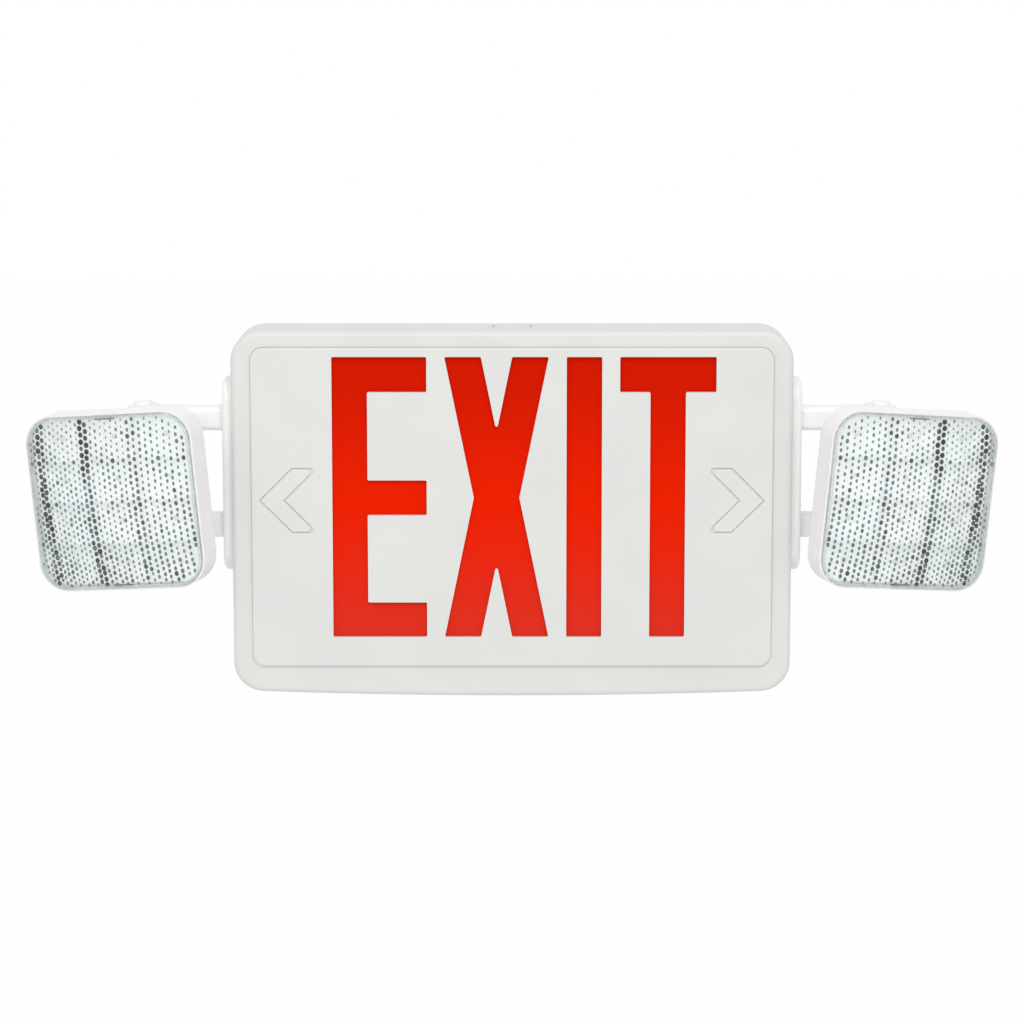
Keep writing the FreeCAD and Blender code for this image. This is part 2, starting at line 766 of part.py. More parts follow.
def makeFacePlate():
    face = body("face_plate")
    flange = sketch(face, FRONT, flangeBack)
    plateOutline(flange, plate.flangeWidth)
    pad(face, flange, plate.flangeThickness)
    front = sketch(face, FRONT, frameInner)
    plateOutline(front, -plate.plateGap)
    pad(face, front, plateFront - frameInner)
    roundEdges(face, plate.plateRound, lambda edge: inPlaneY(edge, plateFront))

    hollow = sketch(face, FRONT, plateInner)
    plateOutline(hollow, -(plate.plateGap + plate.plateRim))
    pocket(face, hollow, plateInner - flangeBack)

    openings = sketch(face, FRONT, plateFront)
    for outline in letterShapes():
        polygon(openings, outline)
    pocket(face, openings, plate.plateThickness)
    roundEdges(face, letter.letterRound, isThroughEdge)

    grooves = sketch(face, FRONT, plateFront)
    for way in (-1, 1):
        polygon(grooves, chevronShape(way, asSize(0)))
        polygon(grooves, chevronShape(way, letter.grooveWidth))
    pocket(face, grooves, letter.grooveDepth)


# Sign lighting

def makeSignLighting():
    sheetBody = body("red_diffuser")
    block(sheetBody, FRONT, trayFront, letter.letterShift, plateLift,
          sheetWidth, sheetHeight, inside.sheetThickness, inside.trayCorner)

    tray = body("light_box")
    block(tray, FRONT, trayBack, letter.letterShift, plateLift,
          sheetWidth, sheetHeight, inside.trayDepth, inside.trayCorner)
    hollow = sketch(tray, FRONT, trayFront)
    roundedBox(hollow, letter.letterShift, plateLift, sheetWidth - inside.trayWall * 2,
               sheetHeight - inside.trayWall * 2, inside.trayCorner - inside.trayWall)
    pocket(tray, hollow, inside.trayDepth - inside.trayWall)

    stripLength = sheetWidth - inside.trayCorner * 2
    stripLevel = trayBack + inside.trayWall + (inside.trayDepth - inside.trayWall) / 2
    for name, upward in (("upper", 1), ("lower", -1)):
        wallHeight = plateLift + (sheetHeight / 2 - inside.trayWall) * upward
        boardMiddle = wallHeight - inside.stripThickness / 2 * upward
        board = body(f"{name}_lamp_strip")
        block(board, FRONT, stripLevel - inside.stripWidth / 2, letter.letterShift, boardMiddle,
              stripLength, inside.stripThickness, inside.stripWidth)
        diodes = body(f"{name}_strip_diodes")
        pitch = stripLength / inside.stripCount
        firstDiode = letter.letterShift - stripLength / 2 + pitch / 2
        chipMiddle = boardMiddle - (inside.stripThickness + inside.chipHeight) / 2 * upward
        block(diodes, FRONT, stripLevel - inside.chipSize / 2, firstDiode, chipMiddle,
              inside.chipSize, inside.chipHeight, inside.chipSize)
        repeatAlong(diodes, "X_Axis", pitch * (inside.stripCount - 1), inside.stripCount)


def originAxis(owner, role):
    return [item for item in owner.Origin.OriginFeatures if item.Role == role][0]


def repeatAlong(owner, axis, length, count):
    """Repeat the body's last feature along one of its axes."""
    doc.recompute()
    made = owner.newObject("PartDesign::LinearPattern", "Repeat")
    made.Originals = [owner.Tip]
    made.Direction = (originAxis(owner, axis), [""])
    made.Length = length.number
    made.setExpression("Length", length.text)
    made.Occurrences = int(count.number)
    made.setExpression("Occurrences", count.text)
    owner.Tip = made
    return made


# Charger and battery

def makeCharger():
    board = body("charger_board")
    block(board, FRONT, inside.boardLevel, boardShift, inside.boardLift,
          inside.boardWidth, inside.boardHeight, inside.boardThickness)

    x, z = boardShift + inside.coilAcross, inside.boardLift + inside.coilUp
    core = body("transformer")
    block(core, FRONT, boardFront, x, z, inside.coilWidth, inside.coilHeight, inside.coilDepth)
    winding = block(core, FRONT, boardFront + inside.windingLevel, x, z, inside.windingWidth,
                    inside.coilHeight + inside.windingRound * 2, inside.windingDepth,
                    inside.windingRound)
    winding.Label = "winding"

    x, z = boardShift + inside.relayAcross, inside.boardLift + inside.relayUp
    relay = body("transfer_relay")
    block(relay, FRONT, boardFront, x, z, inside.relayWidth, inside.relayHeight, inside.relayDepth)
    relayFront = boardFront + inside.relayDepth
    roundEdges(relay, inside.relayRound, lambda edge: inPlaneY(edge, relayFront))

    x = boardShift + inside.canAcross
    can = body("capacitor")
    profile = sketch(can, FRONT, boardFront)
    circle(profile, x, z, inside.canRadius)
    pad(can, profile, inside.canDepth)
    neck = sketch(can, FRONT, boardFront + inside.canNeckLevel)
    circle(neck, x, z, inside.canRadius + inside.canNeck)
    circle(neck, x, z, inside.canRadius - inside.canNeck)
    pocket(can, neck, inside.canNeck * 2)

    x, z = boardShift + inside.terminalAcross, inside.boardLift + inside.terminalUp
    terminals = body("terminal_block")
    block(terminals, FRONT, boardFront, x, z, inside.terminalWidth, inside.terminalHeight,
          inside.terminalDepth)
    wells = sketch(terminals, FRONT, boardFront + inside.terminalDepth)
    for step in (-1, 0, 1):
        circle(wells, x + inside.terminalPitch * step, z, inside.terminalWell)
    pocket(terminals, wells, inside.terminalWellDepth)


def makeBattery():
    cells = body("battery_cells")
    profile = sketch(cells, TOP, inside.cellLift - inside.cellLength / 2)
    circle(profile, cellShift - cellPitch, -cellLevel, inside.cellRadius)
    pad(cells, profile, inside.cellLength)
    repeatAlong(cells, "X_Axis", cellPitch * 2, asSize(3))

    strap = body("battery_strap")
    profile = sketch(strap, TOP, inside.cellLift - inside.strapWidth / 2)
    outerSide = packWidth / 2 + inside.cradleGap + inside.cradleWall
    footEnd = outerSide + inside.strapThickness + inside.strapFoot
    low = -(housing.backWall)
    cellFront = cellLevel + inside.cellRadius + inside.cradleGap
    x = cellShift
    wide = outerSide + inside.cradleGap + inside.strapThickness
    narrow = outerSide + inside.cradleGap
    thick = inside.strapThickness
    polygon(profile, [
        (x - footEnd, low), (x - narrow, low), (x - narrow, -cellFront), (x + narrow, -cellFront),
        (x + narrow, low), (x + footEnd, low), (x + footEnd, low - thick), (x + wide, low - thick),
        (x + wide, -(cellFront + thick)), (x - wide, -(cellFront + thick)),
        (x - wide, low - thick), (x - footEnd, low - thick),
    ])
    pad(strap, profile, inside.strapWidth)


# Test button and indicator

def makeTestButton():
    cap = body("test_button")
    for low, high, radius in (
        (buttonFloor - button.buttonStand, collarLow + button.collarThickness / 2, button.buttonRadius),
        (collarLow, collarHigh, button.collarRadius),
        (collarLow + button.collarThickness / 2, switchLow - button.buttonTravel - button.springSeat,
         button.stemRadius),
    ):
        profile = sketch(cap, TOP, low)
        circle(profile, button.buttonShift, -button.buttonLevel, radius)
        pad(cap, profile, high - low)
    buttonLow = (buttonFloor - button.buttonStand).number
    roundEdges(cap, plate.plateRound, lambda edge: abs(edge.BoundBox.ZMax - buttonLow) < TOUCH)

    coil = body("button_spring")
    profile = sketch(coil, FRONT, button.buttonLevel)
    height = button.springLength - button.springSeat * 2 - button.springWire * 2
    circle(profile, button.buttonShift + button.springRadius,
           collarHigh + button.springSeat + button.springWire, button.springWire)
    line = profile.addGeometry(
        Part.LineSegment(vector(button.buttonShift, collarHigh), vector(button.buttonShift, switchLow)),
        True)
    for end, place in ((1, collarHigh), (2, switchLow)):
        pinX(profile, line, end, button.buttonShift)
        pinY(profile, line, end, place)
    helix = coil.newObject("PartDesign::AdditiveHelix", "Helix")
    helix.Profile = profile
    helix.ReferenceAxis = (profile, ["Axis0"])
    helix.Mode = 2
    helix.Height = height.number
    helix.setExpression("Height", height.text)
    helix.Turns = button.springTurns.number
    helix.setExpression("Turns", button.springTurns.text)

    switch = body("test_switch")
    block(switch, FRONT, button.buttonLevel - button.switchWidth / 2, button.buttonShift,
          (switchLow + switchHigh) / 2, button.switchWidth, button.switchHeight, button.switchWidth)

    lens = body("indicator_lens")
    floorHere = undersideAt(indicatorShift)
    profile = sketch(lens, TOP, floorHere - button.indicatorStand)
    circle(profile, indicatorShift, -button.buttonLevel, button.indicatorRadius - fork.pinGap)
    pad(lens, profile, button.indicatorLength)
    flange = sketch(lens, TOP, floorHere + housing.shellWall + button.buttonGap)
    circle(flange, indicatorShift, -button.buttonLevel, button.indicatorRadius + button.collarThickness)
    pad(lens, flange, button.collarThickness)
    lensLow = (floorHere - button.indicatorStand).number
    roundEdges(lens, plate.plateRound, lambda edge: abs(edge.BoundBox.ZMax - lensLow) < TOUCH)


# Fork at each end

def pinPoint(along, out):
    """A point of the leaning pin's plane: along the pin from its middle, and out from its axis."""
    return (fork.pinReach + along * sine(fork.pinLean) + out * cosine(fork.pinLean),
            along * cosine(fork.pinLean) - out * sine(fork.pinLean))


def ring(owner, stretches, kind="Revolution"):
    """Turn a stepped profile about the leaning pin; stretches are (from, to, radius)."""
    profile = sketch(owner, FRONT)
    start, end = stretches[0][0], stretches[-1][1]
    axisLine(profile, pinPoint(start, asSize(0)), pinPoint(end, asSize(0)))
    points = [pinPoint(start, asSize(0))]
    for low, high, radius in stretches:
        points += [pinPoint(low, radius), pinPoint(high, radius)]
    points.append(pinPoint(end, asSize(0)))
    polygon(profile, points)
    return turn(owner, profile, kind)


eyeMiddle = fork.armSpacing / 2 / cosine(fork.pinLean)
eyeInner = eyeMiddle - eyeLength / 2
eyeOuter = eyeMiddle + eyeLength / 2


def makeSidePlate(side, place):
    plateBody = body(f"{side}_side_plate", place)
    block(plateBody, SIDE, asSize(0), asSize(0), -fork.sideDrop, fork.sideDepth, fork.sideLength,
          fork.sideThickness, fork.sideCorner)
    outer = fork.sideThickness.number
    roundEdges(plateBody, fork.sideRound, lambda edge: edge.BoundBox.XMin > outer - TOUCH)
    slots = sketch(plateBody, SIDE, fork.sideThickness)
    recesses = sketch(plateBody, SIDE, fork.rootThickness)
    for upward in (-1, 1):
        middle = fork.armSpacing / 2 * upward
        roundedBox(slots, asSize(0), middle, fork.armDepth + fork.armGap * 2,
                   fork.armHeight + fork.armGap * 2, fork.armRound + fork.armGap)
        roundedBox(recesses, asSize(0), middle,
                   fork.armDepth + (fork.rootMargin + fork.armGap) * 2,
                   fork.armHeight + (fork.rootMargin + fork.armGap) * 2, fork.armRound + fork.armGap)
    pocket(plateBody, slots, fork.sideThickness)
    pocket(plateBody, recesses, fork.rootThickness)
    holes = sketch(plateBody, SIDE)
    for upward in (-1, 1):
        circle(holes, asSize(0), fork.fixSpread / 2 * upward, fork.fixRadius + fork.fixGap)
    pocket(plateBody, holes, fork.fixLength - housing.shellWall + fork.fixGap, reversed=True)


def makeArm(side, place, name, upward):
    arm = body(f"{side}_{name}_arm", place)
    middle = fork.armSpacing / 2 * upward
    block(arm, SIDE, asSize(0), asSize(0), middle, fork.armDepth + fork.rootMargin * 2,
          fork.armHeight + fork.rootMargin * 2, fork.rootThickness - fork.armGap, fork.armRound)
    reach = fork.pinReach + fork.armSpacing / 2 * upward * sine(fork.pinLean)
    block(arm, SIDE, asSize(0), asSize(0), middle, fork.armDepth, fork.armHeight, reach,
          fork.armRound)
    low, high = (eyeInner, eyeOuter) if upward > 0 else (-eyeOuter, -eyeInner)
    ring(arm, [(low, high, fork.eyeRadius)])
    ring(arm, [(low - OVERCUT, high + OVERCUT, fork.pinRadius + fork.pinGap)], "Groove")


def makeHingePin(side, place):
    pin = body(f"{side}_hinge_pin", place)
    reach = eyeOuter + fork.pinGap
    ring(pin, [(-(reach + fork.capThickness), -reach, fork.capRadius),
               (-reach, reach, fork.pinRadius),
               (reach, reach + fork.capThickness, fork.capRadius)])


def makeFixings(side, place):
    screws = body(f"{side}_plate_screws", place)
    for start, length, radius in (
        (housing.shellWall + fork.fixHeadHeight, fork.fixHeadHeight, fork.fixHead),
        (housing.shellWall, fork.fixLength, fork.fixRadius),
    ):
        profile = sketch(screws, SIDE, -start)
        for upward in (-1, 1):
            circle(profile, asSize(0), fork.fixSpread / 2 * upward, radius)
        pad(screws, profile, length)


# Knuckle and lamp head

def makeKnuckle(side, place):
    swivel = body(f"{side}_knuckle", place)
    half = eyeInner - fork.faceGap
    profile = sketch(swivel, TOP, -half)
    circle(profile, asSize(0), asSize(0), knuckle.barrelRadius)
    pad(swivel, profile, half * 2)
    lug = sketch(swivel, SIDE)
    tipY = -knuckle.crossReach
    polygon(lug, [(asSize(0), -knuckle.lugRoot), (asSize(0), knuckle.lugRoot),
                  (tipY, knuckle.lugRadius), (tipY, -knuckle.lugRadius)])
    pad(swivel, lug, knuckle.lugWidth, both=True)
    nose = sketch(swivel, SIDE)
    circle(nose, tipY, asSize(0), knuckle.lugRadius)
    pad(swivel, nose, knuckle.lugWidth, both=True)
    bore = sketch(swivel, TOP, half)
    circle(bore, asSize(0), asSize(0), fork.pinRadius + fork.pinGap)
    pocket(swivel, bore, half * 2)
    cross = sketch(swivel, SIDE)
    circle(cross, tipY, asSize(0), knuckle.crossRadius + fork.pinGap)
    pocket(swivel, cross, knuckle.lugWidth + OVERCUT, both=True)


earInner = knuckle.lugWidth / 2 + head.earGap
earOuter = earInner + head.earThickness
shellBack = head.backStep
shellRim = shellBack + head.backRise + head.headSide
lensFront = shellRim + head.lensThickness
reflectorFront = shellRim - head.spigotDepth - head.reflectorGap
reflectorBack = reflectorFront - head.reflectorThickness
reflectorWidth = head.headWidth - (head.headWall + head.reflectorGap) * 2
reflectorCorner = head.headCorner - head.headWall - head.reflectorGap


def makeCrossPin(side, place):
    pin = body(f"{side}_cross_pin", place)
    for start, end, radius in (
        (-(earOuter + fork.pinGap + fork.capThickness), -(earOuter + fork.pinGap), fork.capRadius),
        (-(earOuter + fork.pinGap), earOuter + fork.pinGap, knuckle.crossRadius),
        (earOuter + fork.pinGap, earOuter + fork.pinGap + fork.capThickness, fork.capRadius),
    ):
        profile = sketch(pin, SIDE, start)
        circle(profile, -knuckle.crossReach, asSize(0), radius)
        pad(pin, profile, end - start)


def headSquare(owner, level, width, radius):
    profile = sketch(owner, FRONT, level)
    roundedBox(profile, asSize(0), -head.headDrop, width, width, radius)
    return profile


def makeHeadShell(side, place):
    shell = body(f"{side}_head_shell", place)
    depth = head.backRise + head.headSide
    pad(shell, headSquare(shell, shellBack, head.headWidth, head.headCorner), depth)
    roundEdges(shell, head.shellRound, lambda edge: inPlaneY(edge, shellBack))
    hollowOut(shell, head.headWall, shellRim)

    root = -(shellBack + head.headWall / 2)
    for way in (-1, 1):
        start = earInner if way > 0 else -earOuter
        ear = sketch(shell, SIDE, start)
        polygon(ear, [(root, -head.earRoot), (root, head.earRoot),
                      (asSize(0), head.earRadius), (asSize(0), -head.earRadius)])
        pad(shell, ear, head.earThickness)
        nose = sketch(shell, SIDE, start)
        circle(nose, asSize(0), asSize(0), head.earRadius)
        pad(shell, nose, head.earThickness)
    cross = sketch(shell, SIDE)
    circle(cross, asSize(0), asSize(0), knuckle.crossRadius + fork.pinGap)
    pocket(shell, cross, earOuter * 2 + OVERCUT, both=True)


def makeReflector(side, place):
    tray = body(f"{side}_reflector", place)
    pad(tray, headSquare(tray, reflectorBack, reflectorWidth, reflectorCorner),
        head.reflectorThickness)
    stepX = reflectorWidth / head.cellColumns
    stepZ = reflectorWidth / head.cellRows

    x = stepX / 2 - reflectorWidth / 2
    z = stepZ / 2 - reflectorWidth / 2 - head.headDrop
    halfX, halfZ = (stepX - head.cupRidge) / 2, (stepZ - head.cupRidge) / 2
    mouth = sketch(tray, FRONT, reflectorFront)
    polygon(mouth, [(x - halfX, z - halfZ), (x + halfX, z - halfZ),
                    (x + halfX, z + halfZ), (x - halfX, z + halfZ)])
    cup = pocket(tray, mouth, head.cupDepth)
    cup.TaperAngle = -head.cupSlope.number
    cup.setExpression("TaperAngle", (-head.cupSlope).text)
    doc.recompute()
    grid = tray.newObject("PartDesign::MultiTransform", "Cells")
    grid.Originals = [cup]
    moves = []
    for axis, step, count in (("X_Axis", stepX, head.cellColumns), ("Z_Axis", stepZ, head.cellRows)):
        move = tray.newObject("PartDesign::LinearPattern", "Row")
        move.Direction = (originAxis(tray, axis), [""])
        span = step * (count - 1)
        move.Length = span.number
        move.setExpression("Length", span.text)
        move.Occurrences = int(count.number)
        move.setExpression("Occurrences", count.text)
        moves.append(move)
    grid.Transformations = moves
    tray.Tip = grid


def makeLampBoard(side, place):
    board = body(f"{side}_lamp_board", place)
    boardBack = reflectorBack - head.lampBoardThickness
    width = reflectorWidth - head.lampBoardInset * 2
    pad(board, headSquare(board, boardBack, width, reflectorCorner - head.lampBoardInset / 2),
        head.lampBoardThickness)


def makeHeadDiodes(side, place):
    chips = body(f"{side}_head_diodes", place)
    stepX = reflectorWidth / head.cellColumns
    stepZ = reflectorWidth / head.cellRows
    floor = reflectorFront - head.cupDepth
    profile = sketch(chips, FRONT, floor)
    for column in range(int(head.cellColumns.number)):
        for row in range(int(head.cellRows.number)):
            x = stepX * (column + 0.5) - reflectorWidth / 2
            z = stepZ * (row + 0.5) - reflectorWidth / 2 - head.headDrop
            half = inside.chipSize / 2
            polygon(profile, [(x - half, z - half), (x + half, z - half),
                              (x + half, z + half), (x - half, z + half)])
    pad(chips, profile, inside.chipHeight)


def makeLens(side, place):
    lens = body(f"{side}_lens", place)
    corner = head.headCorner - head.lensInset
    pad(lens, headSquare(lens, shellRim, lensWidth, corner), head.lensThickness)
    roundEdges(lens, head.lensRound, lambda edge: inPlaneY(edge, lensFront))
    outer = head.headWidth - (head.headWall + head.spigotGap) * 2
    outerCorner = head.headCorner - head.headWall - head.spigotGap
    wallProfile = headSquare(lens, shellRim - head.spigotDepth, outer, outerCorner)
    roundedBox(wallProfile, asSize(0), -head.headDrop, outer - head.spigotWall * 2,
               outer - head.spigotWall * 2, outerCorner - head.spigotWall)
    pad(lens, wallProfile, head.spigotDepth)
    slots = sketch(lens, FRONT, lensFront)
    for upward in (-1, 1):
        z = (lensWidth / 2 - head.slotInset - head.lensRound) * upward - head.headDrop
        halfLength, halfWidth = head.slotLength / 2, head.slotWidth / 2
        polygon(slots, [(-halfLength, z - halfWidth), (halfLength, z - halfWidth),
                        (halfLength, z + halfWidth), (-halfLength, z + halfWidth)])
    pocket(lens, slots, head.lensThickness)


# Placements of the two sides

def sidePlacements(way):
    """Placements of the fork, knuckle and head; way is -1 at the left end and 1 at the right."""
    turnRound = FreeCAD.Rotation(FreeCAD.Vector(0, 0, 1), 0 if way > 0 else 180)
    base = FreeCAD.Vector(housing.housingWidth.number / 2 * way, -fork.forkLevel.number,
                          fork.forkLift.number)
    forkPlace = FreeCAD.Placement(base, turnRound)
    pinMiddle = base + FreeCAD.Vector(fork.pinReach.number * way, 0, 0)
    lean = FreeCAD.Rotation(FreeCAD.Vector(0, 1, 0), fork.pinLean.number * way)
    swing = FreeCAD.Rotation(FreeCAD.Vector(0, 0, 1), head.headSwing.number * way)
    knucklePlace = FreeCAD.Placement(pinMiddle, lean * swing)
    tilt = FreeCAD.Rotation(FreeCAD.Vector(1, 0, 0), head.headTilt.number)
    crossMiddle = FreeCAD.Vector(0, -knuckle.crossReach.number, 0)
    headPlace = knucklePlace * FreeCAD.Placement(crossMiddle, tilt)
    return forkPlace, knucklePlace, headPlace


makeBackHousing()
makeFrontFrame()
makeFacePlate()
makeSignLighting()
makeCharger()
makeBattery()
makeTestButton()
for sideName, sideWay in (("left", -1), ("right", 1)):
    forkPlace, knucklePlace, headPlace = sidePlacements(sideWay)
    makeSidePlate(sideName, forkPlace)
    makeArm(sideName, forkPlace, "upper", 1)
    makeArm(sideName, forkPlace, "lower", -1)
    makeHingePin(sideName, forkPlace)
    makeFixings(sideName, forkPlace)
    makeKnuckle(sideName, knucklePlace)
    makeCrossPin(sideName, knucklePlace)
    makeHeadShell(sideName, headPlace)
    makeReflector(sideName, headPlace)
    makeLampBoard(sideName, headPlace)
    makeHeadDiodes(sideName, headPlace)
    makeLens(sideName, headPlace)

for made, placement in subparts:
    if placement is not None:
        made.Placement = placement
doc.recompute()


# Checks and files

failures = []
for item in doc.Objects:
    if "Invalid" in item.State or "Error" in item.State:
        failures.append(f"{item.Label}: {item.State}")
for cut in cuts:
    before = cut.BaseFeature
    if before is not None and cut.Shape.Volume > before.Shape.Volume - 1e-3:
        failures.append(f"{cut.Label} in {cut.getParentGeoFeatureGroup().Label} removes nothing")
for made, placement in subparts:
    if made.Shape.isNull() or not made.Shape.isValid() or made.Shape.Volume <= 0:
        failures.append(f"{made.Label}: bad shape")
if failures:
    raise RuntimeError("\n".join(failures))

os.makedirs("parts", exist_ok=True)
for made, placement in subparts:
    made.Shape.exportStep(f"parts/{made.Label}.step")
print(f"{len(subparts)} sub-parts written")
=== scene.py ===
import math
from itertools import product
import bpy
import numpy as np
from mathutils import Matrix, Vector


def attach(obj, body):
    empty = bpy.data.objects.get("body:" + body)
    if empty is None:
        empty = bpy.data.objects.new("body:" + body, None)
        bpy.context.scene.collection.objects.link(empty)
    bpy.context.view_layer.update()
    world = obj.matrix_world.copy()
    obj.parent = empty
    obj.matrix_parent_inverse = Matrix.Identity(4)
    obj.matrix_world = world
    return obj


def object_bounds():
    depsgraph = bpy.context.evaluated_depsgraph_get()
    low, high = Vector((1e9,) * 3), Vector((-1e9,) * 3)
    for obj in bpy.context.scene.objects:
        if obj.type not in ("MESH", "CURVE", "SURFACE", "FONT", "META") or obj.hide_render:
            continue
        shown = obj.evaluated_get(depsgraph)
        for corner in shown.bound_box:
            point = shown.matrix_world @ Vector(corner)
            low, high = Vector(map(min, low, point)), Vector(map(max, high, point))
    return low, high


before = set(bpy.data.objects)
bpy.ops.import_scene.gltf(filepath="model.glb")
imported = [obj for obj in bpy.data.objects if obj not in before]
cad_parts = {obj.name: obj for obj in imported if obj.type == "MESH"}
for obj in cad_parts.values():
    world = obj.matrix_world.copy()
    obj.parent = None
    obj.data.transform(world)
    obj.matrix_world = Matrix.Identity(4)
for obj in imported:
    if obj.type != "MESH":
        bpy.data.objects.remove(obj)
cadBox = [[float(x) for x in corner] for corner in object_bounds()]
print("frame loaded,", len(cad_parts), "solids")


class Level:  # one socket of a node tree, on which arithmetic adds Math nodes
    def __init__(self, finish, socket):
        self.finish = finish
        self.socket = socket

    def apply(self, operation, *others):
        links = dict(enumerate((self,) + others))
        node = self.finish.add("ShaderNodeMath", {"operation": operation}, links)
        return Level(self.finish, node.outputs[0])

    def __add__(self, other):
        return self.apply("ADD", other)

    def __mul__(self, other):
        return self.apply("MULTIPLY", other)

    def __sub__(self, other):
        return self.apply("SUBTRACT", other)

    def __rsub__(self, other):
        return other + self * -1.0

    __radd__ = __add__
    __rmul__ = __mul__

    def size(self):
        return self.apply("ABSOLUTE")

    def part(self):  # what is left over the whole number
        return self.apply("FRACT")

    def most(self, other):
        return self.apply("MAXIMUM", other)

    def least(self, other):
        return self.apply("MINIMUM", other)

    def between(self, low, high):  # 0 at low, 1 at high, smooth in between
        node = self.finish.add("ShaderNodeMapRange", {"interpolation_type": "SMOOTHSTEP"},
                               {"Value": self, "From Min": low, "From Max": high})
        return Level(self.finish, node.outputs[0])


class Finish:  # one material's node tree
    holder = "materials"
    ending = "ShaderNodeOutputMaterial"

    def __init__(self, name):
        self.owner = getattr(bpy.data, self.holder).new(name)
        self.owner.use_nodes = True
        self.tree = self.owner.node_tree
        self.tree.nodes.clear()
        self.where = None

    def add(self, kind, settings=None, sockets=None):
        node = self.tree.nodes.new(kind)
        for name, value in (settings or {}).items():
            setattr(node, name, value)
        for name, value in (sockets or {}).items():
            if isinstance(value, Level):
                self.tree.links.new(value.socket, node.inputs[name])
            else:
                node.inputs[name].default_value = value
        return node

    def place(self):  # where a point of the object is, in metres
        if self.where is None:
            node = self.add("ShaderNodeTexCoord")
            self.where = Level(self, node.outputs["Object"])
        return self.where

    def along(self, axis):  # the X, Y or Z of that place
        node = self.add("ShaderNodeSeparateXYZ", None, {0: self.place()})
        return Level(self, node.outputs[axis])

    def noise(self, scale, detail=2.0, roughness=0.5, stretch=(1, 1, 1)):
        mapped = self.add("ShaderNodeMapping", None, {"Vector": self.place(), "Scale": stretch})
        node = self.add("ShaderNodeTexNoise", None, {
            "Vector": Level(self, mapped.outputs[0]), "Scale": scale,
            "Detail": detail, "Roughness": roughness})
        return Level(self, node.outputs["Fac"])

    def mix(self, share, first, second):  # share 0 gives the first colour, 1 the second
        first, second = (tone if isinstance(tone, Level) else linearColour(tone) for tone in (first, second))
        node = self.add("ShaderNodeMix", {"data_type": "RGBA"}, {0: share, 6: first, 7: second})
        return Level(self, node.outputs[2])

    def bump(self, height, strength, distance):
        node = self.add("ShaderNodeBump", None, {
            "Height": height, "Strength": strength, "Distance": distance})
        return Level(self, node.outputs[0])

    def coat(self, **sockets):  # closes with one Principled shader
        named = {key.replace("_", " "): value for key, value in sockets.items()}
        return self.close(self.add("ShaderNodeBsdfPrincipled", None, named))

    def blend(self, share, first, second):  # closes with the first shader at share 0, the second at 1
        return self.close(self.add("ShaderNodeMixShader", None, {
            0: share, 1: Level(self, first.outputs[0]), 2: Level(self, second.outputs[0])}))

    def close(self, shader):
        self.add(self.ending, None, {"Surface": Level(self, shader.outputs[0])})
        return self.owner


class Sky(Finish):  # the same for the light all around
    holder = "worlds"
    ending = "ShaderNodeOutputWorld"


def linearColour(chip):  # from the 0 to 255 values of a colour chip
    levels = [value / 255 for value in chip]
    curve = [level / 12.92 if level <= 0.04045 else ((level + 0.055) / 1.055) ** 2.4 for level in levels]
    return (*curve, 1.0)


moulded = {
    "mottle": 26.0,  # noise scale of the slow clouds in the colour
    "mottleEdge": (0.35, 0.65),  # noise levels between which the clouds turn
    "patch": 90.0,  # noise scale of the sheen patches
    "sheen": 0.12,  # how much the patches change the roughness
    "spark": 2600.0,  # noise scale of the fine grain
    "relief": 0.35,  # strength of the fine grain
    "grain": 0.00002,  # height of the fine grain
    "gloss": 0.45,
    "bend": 1.5,  # index of refraction
}
whiteTones = {  # two close whites and a roughness
    "housingWhite": ((222, 223, 219), (219, 220, 217), 0.42),
    "trayWhite": ((243, 243, 243), (238, 239, 240), 0.5),
    "headWhite": ((246, 246, 245), (243, 243, 243), 0.38),
    # paler than the housing's white: partly the arms' own white, partly painted light lifting the shade that
    # the lamp heads cast on them
    "armWhiteWithPaintedLight": ((248, 248, 248), (245, 246, 246), 0.4),
}


def mouldedWhite(name):
    # satin thermoplastic: slow mottle in the colour, fine spark grain in the bump, sheen patches in roughness
    warm, cool, rough = whiteTones[name]
    finish = Finish(name)
    slow = finish.noise(moulded["mottle"], 3.0)
    fine = finish.noise(moulded["spark"], 2.0, 0.6)
    patch = finish.noise(moulded["patch"], 3.0, 0.6)
    return finish.coat(
        Base_Color=finish.mix(slow.between(*moulded["mottleEdge"]), warm, cool),
        Roughness=(rough - moulded["sheen"] / 2) + moulded["sheen"] * patch,
        Normal=finish.bump(fine, moulded["relief"], moulded["grain"]),
        IOR=moulded["bend"], Specular_IOR_Level=moulded["gloss"])


redSheet = {
    # painted shade, darker red towards the top
    "top": (206, 24, 0),
    "middle": (232, 32, 0),
    # painted light, paler and pinker red towards the bottom
    "bottom": (218, 50, 35),
    "upperFade": (-0.005, 0.085),  # heights between which the middle turns into the painted shade of the top
    "lowerFade": (0.01, -0.085),  # heights between which the middle turns into the painted light of the bottom
    "cloud": 60.0,  # noise scale of the sheen
    "sheen": 0.08,  # how much it changes the roughness
    "rough": 0.26,
    "cast": 900.0,  # noise scale of the cast grain
    "relief": 0.15,  # strength of the cast grain
    "grain": 0.00002,  # height of the cast grain
    "gloss": 0.02,
}


def redAcrylic():
    # red sheet: painted shade deepens it towards the top of the sign, painted light makes it paler and pinker
    # towards the bottom; faint cast grain
    finish = Finish("redAcrylic")
    up = finish.along("Z")
    tone = finish.mix(up.between(*redSheet["lowerFade"]), redSheet["middle"], redSheet["bottom"])
    tone = finish.mix(up.between(*redSheet["upperFade"]), tone, redSheet["top"])
    cloud = finish.noise(redSheet["cloud"], 3.0)
    fine = finish.noise(redSheet["cast"], 2.0)
    return finish.coat(Base_Color=tone, Roughness=redSheet["rough"] + redSheet["sheen"] * cloud,
                       Normal=finish.bump(fine, redSheet["relief"], redSheet["grain"]),
                       Specular_IOR_Level=redSheet["gloss"])


